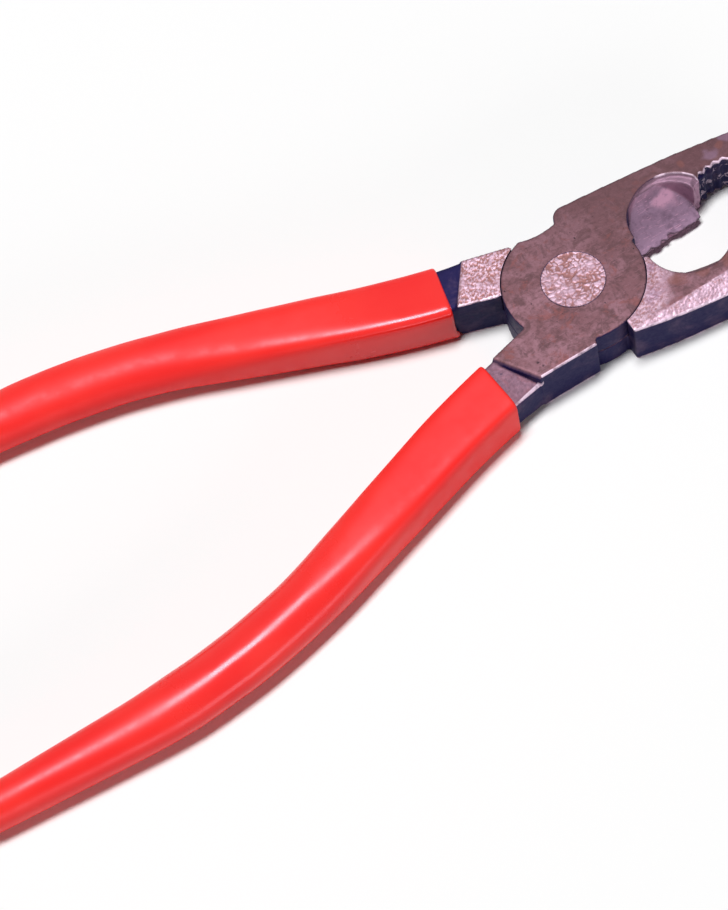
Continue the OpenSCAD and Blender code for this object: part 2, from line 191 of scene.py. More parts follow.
def blend3(u, sizes):
    if u < PALM_POSITION:
        return sizes[0] + (sizes[1] - sizes[0]) * (u - TAPER_START) / (PALM_POSITION - TAPER_START)
    return sizes[1] + (sizes[2] - sizes[1]) * (u - PALM_POSITION) / (HANDLE_LENGTH - PALM_POSITION)


def half_width(u):
    return blend3(u, GRIP_WIDTHS) / 2


def half_height(u):
    return blend3(max(u, TAPER_START), GRIP_HEIGHTS) / 2


def face_wall(u):
    return GRIP_FACE_WALL * min(1, (u - NECK_START) / (TAPER_START - NECK_START))


def squareness(u, ends):
    share = limit(1 - (u - TAPER_START) / GRIP_SQUARE_LENGTH, 0, 1)
    return ends[1] + (ends[0] - ends[1]) * share ** SQUARENESS_FADE


def smoothstep(v, low, high):
    t = np.clip((v - low) / (high - low), 0, 1)
    return t * t * (3 - 2 * t)


# Reading and writing the points of a mesh, in millimetres
def read_points(mesh):
    points = np.empty(len(mesh.vertices) * 3)
    mesh.vertices.foreach_get("co", points)
    return points.reshape(-1, 3) / MM


def write_points(mesh, points):
    mesh.vertices.foreach_set("co", (points * MM).ravel())
    mesh.update()


def read_normals(mesh):
    normals = np.empty(len(mesh.vertices) * 3)
    mesh.vertex_normals.foreach_get("vector", normals)
    return normals.reshape(-1, 3)


def write_masks(mesh, **masks):
    for name, values in masks.items():
        layer = mesh.attributes.new(name, "FLOAT", "POINT")
        layer.data.foreach_set("value", np.asarray(values, dtype=np.float32))


def field(points, scale, seed):
    shift = Vector((seed * 17.3, seed * 5.1, seed * 9.7))
    return np.array([noise.noise(Vector(p) / scale + shift) for p in points])


def network(points, size, seed):
    """A fine irregular net of lines between rounded cells: 1 on a line, 0 inside a cell.

    Blender seeds noise_vector from the clock, so the net differs from run to run.
    """
    shift = Vector((seed * 7.1, seed * 3.3, seed * 11.9))
    value = np.empty(len(points))
    for i, p in enumerate(points):
        q = Vector(p) / size + shift
        q += NET_WARP * noise.noise_vector(q * 1.3)
        near = noise.voronoi(q)[0]
        value[i] = near[1] - near[0]
    return 1 - smoothstep(value, *NET_LINE)


def remeshed(node, voxel, rounds):
    """A fine even mesh of a CAD node, with every edge a little rounded"""
    probe = bpy.data.objects.new("probe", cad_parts[node].data.copy())
    bpy.context.scene.collection.objects.link(probe)
    remesh = probe.modifiers.new("voxels", "REMESH")
    remesh.mode = "VOXEL"
    remesh.voxel_size = voxel * MM
    soften = probe.modifiers.new("soften", "SMOOTH")
    soften.factor = SOFTENING
    soften.iterations = rounds
    evaluated = probe.evaluated_get(bpy.context.evaluated_depsgraph_get())
    mesh = bpy.data.meshes.new_from_object(evaluated)
    bpy.data.objects.remove(probe)
    return mesh


def edges_worn_and_highlit(node, angle):
    """Points along the CAD node's edges that stand out by more than an angle, each with its brightness of
    wear and painted highlight.

    Every such edge gets a least share of wear. Edges that face away from the jaws' side of the tool get
    the most, as painted highlight on top of that wear; upright ones and the ends of the ground flats get
    none.
    """
    work = bmesh.new()
    work.from_mesh(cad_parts[node].data)
    bmesh.ops.remove_doubles(work, verts=work.verts, dist=WELD_DISTANCE)
    samples = []
    for edge in work.edges:
        if len(edge.link_faces) != 2 or edge.calc_face_angle_signed(0) < angle:
            continue
        a, b = (v.co / MM for v in edge.verts)
        run = b - a
        middle = np.array([(a + b) / 2])
        end_line = min(abs(past_flat(middle, side)[0]) for side in (-1, 1))
        at_flat_end = end_line < FLAT_END_REACH and middle[0][0] < NECK_SIDE
        if abs(run.z) > UPRIGHT_SHARE * run.length or at_flat_end:
            continue
        wall = min((face.normal for face in edge.link_faces), key=lambda normal: abs(normal.z))
        # Beyond the least wear, the brightness is painted highlight on edges whose walls face the
        # highlight side
        wear = LEAST_WEAR + (1 - LEAST_WEAR) * max(0, wall.dot(HIGHLIGHT_SIDE))
        steps = max(1, int(run.length / EDGE_SPACING))
        samples += [(a.lerp(b, (i + 0.5) / steps), wear) for i in range(steps)]
    work.free()
    return samples


def edge_wear_and_highlight(node, points):
    """How bright each point is made by wear and by painted highlight, from the edges near it"""
    samples = edges_worn_and_highlit(node, RUBBED_ANGLE)
    tree = kdtree.KDTree(len(samples))
    for i, (p, wear) in enumerate(samples):
        tree.insert(p, i)
    tree.balance()
    found = [tree.find(p)[1:] for p in points]
    distance = np.array([d for _, d in found])
    wear = np.array([samples[i][1] for i, _ in found])
    radius = np.hypot(points[:, 0], points[:, 1])
    seam = np.minimum(np.abs(radius - BOSS_RADIUS), np.abs(radius - RIVET_HEAD_RADIUS))
    return wear * (1 - smoothstep(distance, *WEAR_REACH)) * smoothstep(seam, *SEAM_REACH)


def turned(points, angle):
    a = math.radians(angle)
    x = points[:, 0] * math.cos(a) + points[:, 1] * math.sin(a)
    y = -points[:, 0] * math.sin(a) + points[:, 1] * math.cos(a)
    return x, y


def inside(x, y, disc, spare):
    return smoothstep(disc[2] + spare - np.hypot(x - disc[0], y - disc[1]), 0, 0.3)


def past_line(x, y, a, b):
    """Distance from the line through a and b, positive on its left"""
    length = math.hypot(b[0] - a[0], b[1] - a[1])
    return ((b[0] - a[0]) * (y - a[1]) - (b[1] - a[1]) * (x - a[0])) / length


def past_flat(points, side):
    """Distance past the end of the neck's ground flat, towards the handle's end"""
    a = beside(FLAT_END[0], -NECK_HALF_WIDTH)
    b = beside(FLAT_END[1], NECK_HALF_WIDTH)
    return past_line(points[:, 0], points[:, 1] * side, a, b)


def past_flat_end(points, side):
    """1 on the sloping root of a handle, behind the neck's ground flat"""
    return smoothstep(past_flat(points, side), 0.1, 0.3)


def on_neck(points, side):
    return (points[:, 0] < NECK_SIDE) & (points[:, 1] * side > 0)


def flatness(normals):
    """1 on faces that look up or down, 0 on walls"""
    return smoothstep(np.abs(normals[:, 2]), *FLAT_TILT)


def below_top(z):
    return smoothstep(HEAD_THICKNESS - z, 0.05, 0.25)


def crisp_rims(points, radius, outwards):
    """Bring a round face's softened rims back to their corners, so that the seams there stay narrow.

    The face lies outside the rim where outwards is 1, and inside it where outwards is -1.
    """
    for level in (0, HEAD_THICKNESS):
        crisp_rim(points, radius, level, outwards)


def crisp_rim(points, radius, level, outwards):
    reach = 0.6
    lost = 0.16
    r = np.hypot(points[:, 0], points[:, 1])
    onto = (r - radius) * outwards
    rim = (onto > -0.1) & (onto < reach) & (np.abs(points[:, 2] - level) < 0.3)
    points[rim, 2] = level
    wanted = np.maximum(0, onto[rim] - lost) * reach / (reach - lost)
    points[rim, :2] *= ((radius + outwards * wanted) / r[rim])[:, None]


def chips(x, seed, spacing, deepest):
    """The uneven depth of a broken cutting edge along the jaw"""
    rng = random.Random(seed)
    knots = np.arange(CUTTER_START - 1, CUTTER_END + 2, spacing)
    depths = np.array([rng.random() ** 2 * deepest for _ in knots])
    return np.interp(x, knots, depths)


def push_back(points, jaw_angle, side, shift):
    """Move points of a jaw away from its mating line"""
    a = math.radians(jaw_angle)
    points[:, 0] -= side * shift * math.sin(a)
    points[:, 1] += side * shift * math.cos(a)


def chip_blade(points, jaw_angle, side, depth):
    """Break a cutting edge back by a depth that changes along it"""
    x, y = turned(points, jaw_angle)
    y = y * side
    near = 1 - smoothstep(np.abs(points[:, 2] - EDGE_HEIGHT), 0.5, 1.2)
    blade = (x > CUTTER_START) & (x < CUTTER_END - 0.1) & (y < BLADE_WIDTH)
    push_back(points, jaw_angle, side, np.where(blade, np.maximum(0, depth(x) * near - y), 0))


def dent(points, normals, amount):
    points -= normals * amount[:, None]


def dent_sides(points, normals, face, seed):
    """Uneven forged skin on all faces that aren't ground"""
    dent(points, normals, DENT_DEPTH * (1 - face) * field(points, DENT_SIZE, seed))


def add_piece(name, mesh, body, node, material):
    piece = bpy.data.objects.new(name, mesh)
    bpy.context.scene.collection.objects.link(piece)
    mesh.materials.clear()
    mesh.materials.append(material)
    mesh.polygons.foreach_set("use_smooth", np.ones(len(mesh.polygons), dtype=bool))
    mesh.set_sharp_from_angle(angle=SHARP_ANGLE)
    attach(piece, body)
    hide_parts(node)
    return piece


def cutter_wall_shade(x, y, z, normals):
    """The low upright walls of the cutter and of the pipe grip, painted near black as shade"""
    upright = 1 - smoothstep(np.abs(normals[:, 2]), 0.35, 0.7)
    low = 1 - smoothstep(z, EDGE_HEIGHT, EDGE_HEIGHT + 0.5)
    blade = (x > CUTTER_START - 1) & (x < CUTTER_END + 0.4) & (y < 2.6)
    return upright * low * blade


def pipe_edge(x):
    """Height of the pipe grip's arc over the mating line"""
    half = (PIPE_END - PIPE_START) / 2
    radius = (half * half + PIPE_DEPTH * PIPE_DEPTH) / (2 * PIPE_DEPTH)
    return np.sqrt(np.maximum(0, radius ** 2 - (x - PIPE_START - half) ** 2)) - (radius - PIPE_DEPTH)


def pipe_wall(x, y):
    """1 on the toothed wall of the pipe grip"""
    return smoothstep(x, CUTTER_END - 0.2, CUTTER_END + 0.1) * (1 - smoothstep(y - pipe_edge(x), 0.7, 0.9))


def batter_pipe_grip(points, normals, jaw_angle, side, seed):
    """Break the pipe grip's teeth, and round its upper rim off where it is worn most"""
    x, y = turned(points, jaw_angle)
    y = y * side
    wall = pipe_wall(x, y) * (x < PIPE_END)
    worn = 1 - smoothstep(x, CUTTER_END + 3, PIPE_END - 3)
    dent(points, normals, wall * worn * TOOTH_WEAR * np.maximum(-0.2, field(points, 1.3, seed)))
    rim = np.maximum(0, 1.5 - (y - pipe_edge(x))) * (x > CUTTER_END) * worn
    top = smoothstep(points[:, 2], HEAD_THICKNESS - 2, HEAD_THICKNESS - 0.5)
    points[:, 2] -= rim * top * (RIM_WEAR + 0.5 * field(points, 1.1, seed + 1))


def blots(x, y, spots, points, seed):
    """Marks at given places of a jaw, each with a radius, with ragged rims"""
    ragged = field(points, 1.6, seed)
    amount = np.zeros(len(points))
    for spot_x, spot_y, radius in spots:
        reach = np.hypot(x - spot_x, y - spot_y) / radius + 0.7 * ragged
        amount = np.maximum(amount, 1 - smoothstep(reach, 0.5, 1.2))
    return amount


def tang_edge_wear_and_highlight(points, side):
    """The outer edge on the leaning top of the front tang, between the neck and the sleeve, brightened by
    wear and by painted highlight
    """
    behind = np.maximum(-points[:, 0], NECK_START)
    centre = np.array([centre_height(u) for u in behind])
    offset = (points[:, 1] * side - centre) * math.cos(HANDLE_ROOT_SLOPE)
    rim = smoothstep(offset, NECK_HALF_WIDTH - 0.9, NECK_HALF_WIDTH - 0.3)
    level = HEAD_THICKNESS - TANG_LEAN
    high = smoothstep(points[:, 2], level - 1.0, level - 0.5) * (points[:, 2] < level + 0.4)
    return rim * high * (points[:, 0] < NECK_SIDE) * (past_flat(points, side) > 0)


# Marks, each as its place and its radius: on the jaws along and across the jaw, on the neck in plan
FRONT_LILAC = ((42.8, 8.1, 1.6), (37.6, 6.2, 1.5), (35.7, 3.4, 1.0))
NECK_PITS = ((-14.9, -12.4, 0.3), (-14.4, -13.5, 0.3))
FRONT_RUST = ((40.3, 7.0, 0.9), (31.9, 8.1, 0.8), (44.5, 6.0, 1.2))
REAR_LILAC = ((13.3, 8.4, 1.8), (14.7, 2.6, 1.2))
REAR_RUST = ((18.5, 6.8, 1.6), (23.5, 6.7, 1.6), (28.5, 5.9, 1.5), (14.2, 11.6, 0.6))


def upper_cutter(points, x, y):
    """The cutter's hollow in the upper jaw, and its floor, which counts in full where it is deep"""
    z = points[:, 2]
    hollow = inside(x, y, UPPER_STEP, 0.4) * below_top(z) * (y > -0.3) * (x < CUTTER_END + 3.5)
    return hollow, hollow * np.where(z < HEAD_THICKNESS - 0.9, 1.0, 0.55)


def front_edge_wear_and_highlight(points, x, y):
    """Edges of the front half, brightened by wear and by painted highlight: of the cutter's step only the
    arc at its far side shows
    """
    arc = smoothstep(x, 24.5, 27) * (points[:, 2] > HEAD_THICKNESS - 0.4)
    step = inside(x, y, UPPER_STEP, 0.7) * (y > -0.3) * (x > 0)
    edge = edge_wear_and_highlight("front_half", points) * (1 - step * (1 - 0.8 * arc))
    return np.maximum(edge, 0.9 * tang_edge_wear_and_highlight(points, -1))


def painted_pink_light(points, normals, x, y):
    """Where the hollow is painted pink: a patch that stands in for a highlight, and painted light on its
    steep wall, which lies in shade
    """
    patch = np.exp(-((x - 26) / 3.0) ** 2 - ((y - 5.8) / 1.5) ** 2) + 0.4 * field(points, 2.0, seed=41)
    steep = 1 - smoothstep(normals[:, 2], 0.3, 0.6)
    return np.maximum(smoothstep(patch, 0.2, 0.8), 0.75 * steep)


# Near black: painted shade on the cutter's low walls, and dark pits on the neck's top
def front_soot(points, normals, face, x, y):
    top = face * (points[:, 2] > HEAD_THICKNESS / 2)
    holes = top * blots(points[:, 0], points[:, 1], NECK_PITS, points, seed=75)
    return np.maximum(cutter_wall_shade(x, y, points[:, 2], normals), holes)


def make_front_half(material):
    mesh = remeshed("front_half", STEEL_VOXEL, rounds=2)
    points = read_points(mesh)
    normals = read_normals(mesh)
    x, y = turned(points, UPPER_JAW_ANGLE)
    flat = flatness(normals)
    root = past_flat_end(points, -1) * on_neck(points, -1)
    hollow, floor = upper_cutter(points, x, y)
    face = np.maximum(flat * (1 - 0.15 * root), hollow)
    masks = {
        # edge: wear, with painted highlight on the edges facing the highlight side
        "edge": front_edge_wear_and_highlight(points, x, y),
        "face": face,
        "scoop": floor,
        "pit": hollow * (1 - floor),
        # pink: painted highlight patch, and painted light on the hollow's steep wall
        "pink": floor * painted_pink_light(points, normals, x, y),
        # Painted shade on the cutter's low walls, and dark pits
        "soot": front_soot(points, normals, face, x, y),
        "wall": pipe_wall(x, y) * (1 - flat) * (x < PIPE_END),
    }
    chip_blade(points, UPPER_JAW_ANGLE, 1, lambda along: chips(along, 11, CHIP_SPACING, CHIP_DEPTH))
    batter_pipe_grip(points, normals, UPPER_JAW_ANGLE, 1, seed=51)
    crisp_rims(points, RIVET_HEAD_RADIUS + RIVET_GAP, 1)
    dent_sides(points, normals, face, seed=21)
    write_points(mesh, points)
    masks["lilac"] = np.maximum(face * blots(x, y, FRONT_LILAC, points, seed=71), 0.5 * root * flat)
    masks["rust"] = face * blots(x, y, FRONT_RUST, points, seed=72)
    write_masks(mesh, **masks)
    return add_piece("front_half_forging", mesh, "front_lever", "front_half", material)


def ground_pits(points, normals, ground, size, seed):
    """Etch the net of rust lines into the ground faces"""
    pit = np.zeros(len(points))
    chosen = np.flatnonzero(ground > 0.02)
    net = network(points[chosen], size, seed)
    patch = smoothstep(field(points[chosen], 3.2, seed + 1), -0.6, 0.3)
    pit[chosen] = net * (0.55 + 0.45 * patch) * ground[chosen]
    dent(points, normals, PIT_DEPTH * pit)
    return pit


def lower_scoop(points, x, y):
    return inside(x, y, LOWER_SCOOP, 0.4) * below_top(points[:, 2]) * (x > 0) * (x < CUTTER_END + 2)


def worn_cheek(radius, points, scoop):
    """The lower jaw's bright top beside the boss"""
    far = smoothstep(radius + 2 * field(points, 3.0, seed=31), 15.5, 20.5)
    return 0.75 * (1 - far) * (1 - scoop)


def make_rear_half(material):
    mesh = remeshed("rear_half", STEEL_VOXEL, rounds=2)
    points = read_points(mesh)
    normals = read_normals(mesh)
    x, y = turned(points, -LOWER_JAW_ANGLE)
    y = -y
    radius = np.hypot(points[:, 0], points[:, 1])
    flat = flatness(normals)
    neck = on_neck(points, 1)
    scoop = lower_scoop(points, x, y)
    face = np.maximum(flat * (1 - past_flat_end(points, 1) * neck), scoop)
    jaw = (points[:, 0] > 0) & (points[:, 1] < 0)
    jaw_top = face * (points[:, 2] > HEAD_THICKNESS / 2) * jaw
    strip = smoothstep(past_line(x, y, STRIP_NEAR, STRIP_FAR), -0.1, 0.15)
    neck_patch = face * neck * (radius > BOSS_RADIUS)
    # Edge brightness: wear, with painted highlight on the edges facing the highlight side
    edge = edge_wear_and_highlight("rear_half", points)
    ground = np.maximum(jaw_top * np.maximum(strip, worn_cheek(radius, points, scoop)), neck_patch)
    pit = ground_pits(points, normals, ground, FORGING_NET, seed=3) * (1 - 0.8 * jaw * strip)
    # Painted shade: the cutter's low walls turned near black
    soot = cutter_wall_shade(x, y, points[:, 2], normals)
    batter_pipe_grip(points, normals, -LOWER_JAW_ANGLE, -1, seed=61)
    dent_sides(points, normals, face, seed=22)
    crisp_rims(points, POCKET_RADIUS, 1)
    write_points(mesh, points)
    write_masks(
        mesh,
        edge=edge,
        face=face,
        ground=ground,
        pit=np.maximum(pit, scoop),
        soot=soot,
        wall=pipe_wall(x, y) * (1 - flat) * (x < PIPE_END),
        lilac=jaw_top * blots(x, y, REAR_LILAC, points, seed=73),
        rust=jaw_top * blots(x, y, REAR_RUST, points, seed=74),
    )
    return add_piece("rear_half_forging", mesh, "rear_lever", "rear_half", material)


def make_rivet(material):
    mesh = remeshed("rivet", RIVET_VOXEL, rounds=1)
    points = read_points(mesh)
    normals = read_normals(mesh)
    face = flatness(normals)
    crisp_rims(points, RIVET_HEAD_RADIUS, -1)
    pit = ground_pits(points, normals, face, RIVET_NET, seed=8)
    write_points(mesh, points)
    write_masks(mesh, face=face, ground=RIVET_GROUND * face, pit=pit)
    return add_piece("rivet_pin", mesh, "rear_lever", "rivet", material)


def power(v, n):
    return math.copysign(abs(v) ** (2 / n), v)


def section(u, w, h, ends, side, skew=0.0, drop=0.0):
    """One ring of a sleeve or of the hollow round its tang, as the part's source draws it"""
    n = squareness(u, ends)
    ring = []
    for i in range(SLEEVE_SIDES):
        a = 2 * math.pi * i / SLEEVE_SIDES
        offset = w * power(math.cos(a), n)
        rise = power(math.sin(a), n)
        x, y = beside(u + skew * offset, offset)
        lean = drop * max(0.0, math.copysign(rise, drop * rise)) * (w + offset) / (2 * w)
        ring.append(Vector((x, y * side, half_height(u) + h * rise - lean)))
    return ring


def sleeve_rings(start, slant, side):
    body_start = start + MOUTH_ROUND
    body_end = HANDLE_LENGTH - GRIP_END_ROUND
    rings = []
    for k in range(MOUTH_RINGS):
        a = math.pi / 2 * k / MOUTH_RINGS
        cut = MOUTH_ROUND * (1 - math.sin(a))
        u = start + MOUTH_ROUND * (1 - math.cos(a))
        rings.append(section(u, half_width(u) - cut, half_height(u) - cut, SLEEVE_SQUARENESS, side, slant))
    for k in range(SLEEVE_RINGS + 1):
        u = body_start + (body_end - body_start) * k / SLEEVE_RINGS
        fade = max(0, 1 - (u - body_start) / MOUTH_SLANT_LENGTH)
        rings.append(section(u, half_width(u), half_height(u), SLEEVE_SQUARENESS, side, slant * fade))
    for k in range(1, END_RINGS + 1):
        a = END_ARC * k / END_RINGS
        u = body_end + GRIP_END_ROUND * math.sin(a)
        shrink = math.cos(a)
        rings.append(section(u, half_width(u) * shrink, half_height(u) * shrink, SLEEVE_SQUARENESS, side))
    return rings


def hollow_rings(start, slant, side):
    """The hollow round the tang, whose face leans on one side of the tool"""
    rings = []
    end = HANDLE_LENGTH - GRIP_END_WALL + SLEEVE_CLEARANCE
    for k in range(HOLLOW_RINGS + 1):
        u = start + (end - start) * k / HOLLOW_RINGS
        w = min(half_width(u) - GRIP_SIDE_WALL, NECK_HALF_WIDTH) + SLEEVE_CLEARANCE
        h = half_height(u) - face_wall(u) + SLEEVE_CLEARANCE
        lean = TANG_LEAN * max(0, (PALM_POSITION - u) / (PALM_POSITION - NECK_START))
        fade = max(0, 1 - (u - start) / MOUTH_SLANT_LENGTH)
        rings.append(section(u, w, h, TANG_SQUARENESS, side, slant * fade, -side * lean))
    return rings


def shape_flap(rings, side):
    """Draw the lower inner corner of a mouth towards the rivet, where the dipped plastic ran down"""
    for k, ring in enumerate(rings[:FLAP_RINGS]):
        for i, p in enumerate(ring):
            a = 2 * math.pi * i / SLEEVE_SIDES
            inner = max(0, -math.cos(a)) ** 2
            depth = limit((FLAP_HEIGHT - p.z) / FLAP_HEIGHT, 0, 1)
            fade = 1 - k / FLAP_RINGS
            p.x += FLAP_REACH * inner * depth * fade
            p.y -= side * FLAP_INWARD * inner * depth * fade


def closed_mesh(name, rings):
    """A mesh through rings of points, closed by the first and the last ring"""
    work = bmesh.new()
    rows = [[work.verts.new(p * MM) for p in ring] for ring in rings]
    for a, b in zip(rows, rows[1:]):
        for i in range(SLEEVE_SIDES):
            j = (i + 1) % SLEEVE_SIDES
            work.faces.new((a[i], a[j], b[j], b[i]))
    work.faces.new(rows[0])
    work.faces.new(rows[-1])
    bmesh.ops.recalc_face_normals(work, faces=work.faces)
    mesh = bpy.data.meshes.new(name)
    work.to_mesh(mesh)
    work.free()
    return mesh


def make_sleeve(name, node, body, start, slant, side, gloss, material, flap=False):
    skew = math.tan(slant)
    outer = sleeve_rings(start, skew, side)
    hollow = hollow_rings(start, skew, side)
    # Blender seeds noise_vector from the clock, so the unevenness differs from run to run
    for ring in outer:
        for p in ring:
            p += DIP_UNEVENNESS * noise.noise_vector(p / DIP_WAVE)
    if flap:
        shape_flap(outer, side)
    mesh = closed_mesh(name, list(reversed(hollow)) + outer)
    behind = -read_points(mesh)[:, 0]
    write_masks(mesh, gloss=np.interp(behind, *gloss))
    return add_piece(name, mesh, body, node, material)


# Gloss left on each sleeve at places behind the rivet, from 0 where hands rubbed it matt to 1
FRONT_GLOSS = ((22, 52, 64, 85, 95, 110, 150), (0.05, 0.1, 0.55, 0.85, 0.95, 0.5, 0.35))
REAR_GLOSS = ((22, 34, 48, 62, 95, 115, 150), (1.0, 0.9, 0.45, 0.15, 0.05, 0.2, 0.3))


# Places of the sockets that Blender's Mix node uses for colours and for values
COLOR_INPUTS = (6, 7)
COLOR_OUTPUT = 2
VALUE_INPUTS = (2, 3)


class Shader:
    """A material whose textures are placed in millimetres in the piece's own frame"""

    def __init__(self, name):
        self.material = bpy.data.materials.new(name)
        self.material.use_nodes = True
        self.tree = self.material.node_tree
        self.bsdf = self.tree.nodes["Principled BSDF"]
        self.place = self.mapped(self.add("TexCoord").outputs["Object"], (1 / MM, 1 / MM, 1 / MM))

    def add(self, kind):
        return self.tree.nodes.new("ShaderNode" + kind)

    def put(self, socket, value):
        if isinstance(value, bpy.types.NodeSocket):
            self.tree.links.new(value, socket)
        elif isinstance(value, tuple) and len(value) == 3 and socket.type == "RGBA":
            socket.default_value = (*value, 1)
        else:
            socket.default_value = value

    def mapped(self, vector, scale, turn=0.0):
        node = self.add("Mapping")
        self.put(node.inputs["Vector"], vector)
        self.put(node.inputs["Scale"], scale)
        self.put(node.inputs["Rotation"], (0, 0, math.radians(turn)))
        return node.outputs["Vector"]

    def mask(self, name):
        node = self.add("Attribute")
        node.attribute_name = name
        return node.outputs["Fac"]

    def towards_upper_jaw(self, start, end, low, high):
        """A slow change across the head, from the lower handle to the upper jaw"""
        split = self.add("SeparateXYZ")
        self.put(split.inputs[0], self.place)
        across = self.math("MULTIPLY", split.outputs["Y"], 1.5)
        return self.ramp(self.math("ADD", split.outputs["X"], across), start, end, low, high)

    def noise(self, size, detail=3.0, rough=0.55, warp=0.0, place=None):
        node = self.add("TexNoise")
        self.put(node.inputs["Vector"], place or self.place)
        self.put(node.inputs["Scale"], 1 / size)
        self.put(node.inputs["Detail"], detail)
        self.put(node.inputs["Roughness"], rough)
        self.put(node.inputs["Distortion"], warp)
        return node.outputs["Fac"]

    def scratches(self, turn, length, width, share):
        """Long thin marks in one direction"""
        stretched = self.mapped(self.place, (1 / length, 1 / width, 1 / width), turn)
        return self.ramp(self.noise(1, 2, 0.5, 0, stretched), 1 - share, 1 - share + 0.03)

    def ramp(self, value, low, high, to_low=0.0, to_high=1.0):
        node = self.add("MapRange")
        node.interpolation_type = "SMOOTHSTEP"
        self.put(node.inputs["Value"], value)
        self.put(node.inputs["From Min"], low)
        self.put(node.inputs["From Max"], high)
        self.put(node.inputs["To Min"], to_low)
        self.put(node.inputs["To Max"], to_high)
        return node.outputs["Result"]

    def mix(self, amount, a, b):
        node = self.add("Mix")
        node.data_type = "RGBA"
        self.put(node.inputs[0], amount)
        self.put(node.inputs[COLOR_INPUTS[0]], a)
        self.put(node.inputs[COLOR_INPUTS[1]], b)
        return node.outputs[COLOR_OUTPUT]

    def blend(self, amount, a, b):
        node = self.add("Mix")
        self.put(node.inputs[0], amount)
        self.put(node.inputs[VALUE_INPUTS[0]], a)
        self.put(node.inputs[VALUE_INPUTS[1]], b)
        return node.outputs[0]

    def math(self, kind, a, b):
        node = self.add("Math")
        node.operation = kind
        self.put(node.inputs[0], a)
        self.put(node.inputs[1], b)
        return node.outputs[0]

    def bump(self, height, distance, normal=None):
        node = self.add("Bump")
        self.put(node.inputs["Height"], height)
        self.put(node.inputs["Distance"], distance * MM)
        if normal is not None:
            self.put(node.inputs["Normal"], normal)
        return node.outputs["Normal"]

    def finish(self, **values):
        for name, value in values.items():
            self.put(self.bsdf.inputs[name.replace("_", " ").title()], value)
        return self.material


# Colours of the steel, as linear light
PATINA = (0.160, 0.072, 0.087)
PATINA_LIGHT = (0.232, 0.114, 0.143)
PATINA_DARK = (0.092, 0.043, 0.050)
PATINA_RED = (0.19, 0.062, 0.062)
FORGED = (0.008, 0.005, 0.052)
FORGED_LIGHT = (0.060, 0.036, 0.088)
GROUND = (0.41, 0.262, 0.34)
GROUND_LIGHT = (0.62, 0.43, 0.55)
GROUND_RUST = (0.25, 0.100, 0.088)
SCOOP = (0.30, 0.185, 0.28)
# Pink for light marks on the hollow's floor, and for its painted highlight and painted light
SCOOP_PINK_AND_HIGHLIGHT = (0.54, 0.29, 0.42)
SCOOP_DARK = (0.19, 0.115, 0.18)
# Bright steel for worn edges, also used as painted highlight on edges and as painted glints on the pipe
# grip's teeth
WEAR_AND_HIGHLIGHT = (0.66, 0.50, 0.62)
# Near black for dark pits, and for painted shade on the cutter's low walls
PIT_AND_SHADE_BLACK = (0.004, 0.003, 0.008)
LILAC = (0.27, 0.165, 0.26)
RUST = (0.200, 0.074, 0.066)
LILAC_AMOUNT = 0.42
RUST_AMOUNT = 0.5

# How the steel takes the light
STEEL_METALLIC = 0.45
STEEL_SPECULAR = 0.2
STEEL_ROUGHNESS = (0.5, 0.62)
GROUND_ROUGHNESS = (0.4, 0.52)
GRAIN_SIZE = 0.7
GRAIN_DEPTH = 0.05

# Colours of the plastic, and how it takes the light
PLASTIC_RED = (0.93, 0.020, 0.016)
PLASTIC_RED_LIGHT = (0.96, 0.030, 0.022)
PLASTIC_TINT = (1.0, 0.72, 0.86)
PLASTIC_SPECULAR = 0.4
MATT_ROUGHNESS = (0.46, 0.58)
GLOSSY_ROUGHNESS = (0.12, 0.18)
PLASTIC_DEPTH = 0.01


def patina_color(s):
    """Brown oxide with clouds, red patches and fine light marks"""
    color = s.mix(s.ramp(s.noise(8, 4, 0.6, 0.6), 0.40, 0.62), PATINA, PATINA_LIGHT)
    color = s.mix(s.ramp(s.noise(3.0, 5, 0.65, 0.8), 0.46, 0.64, 0, 0.8), color, PATINA_DARK)
    color = s.mix(s.ramp(s.noise(4.2, 5, 0.7, 1.2), 0.53, 0.66, 0, 0.75), color, PATINA_RED)
    color = s.mix(s.ramp(s.noise(0.9, 4, 0.65), 0.46, 0.66, 0, 0.6), color, PATINA_DARK)
    light = s.math("MAXIMUM", s.scratches(35, 2.6, 0.3, 0.36), s.scratches(-50, 2.0, 0.26, 0.35))
    color = s.mix(s.math("MULTIPLY", light, 0.45), color, PATINA_LIGHT)
    holes = s.ramp(s.noise(0.75, 2, 0.4), 0.72, 0.76)
    color = s.mix(s.math("MULTIPLY", holes, 0.85), color, PIT_AND_SHADE_BLACK)
    return s.mix(s.towards_upper_jaw(-6, 38, 0.0, 0.62), color, PATINA_DARK)


def forged_color(s):
    """Dark scale left on the sides by the forging, with painted glints on the pipe grip's toothed wall"""
    color = s.mix(s.ramp(s.noise(6, 4, 0.6, 0.5), 0.46, 0.72), FORGED, FORGED_LIGHT)
    # Painted glints: bright patches of noise on the pipe grip's toothed wall
    light = s.math("MULTIPLY", s.mask("wall"), s.ramp(s.noise(1.7, 3, 0.6, 0.5), 0.56, 0.66, 0, 0.7))
    return s.mix(light, color, WEAR_AND_HIGHLIGHT)


def ground_color(s):
    """Bright ground steel, pinkish in the light, with a net of rust"""
    color = s.mix(s.ramp(s.noise(1.6, 4, 0.6, 0.5), 0.42, 0.62), GROUND, GROUND_LIGHT)
    color = s.mix(s.ramp(s.noise(0.7, 4, 0.7, 0.6), 0.50, 0.66, 0, 0.6), color, GROUND_RUST)
    return s.mix(s.ramp(s.mask("pit"), 0.1, 0.85, 0, 0.9), color, GROUND_RUST)


def scoop_marks(s):
    """Short light marks across the cutter's hollow floor"""
    return s.math("MAXIMUM", s.scratches(-62, 3.2, 0.2, 0.36), s.scratches(20, 1.8, 0.16, 0.34))


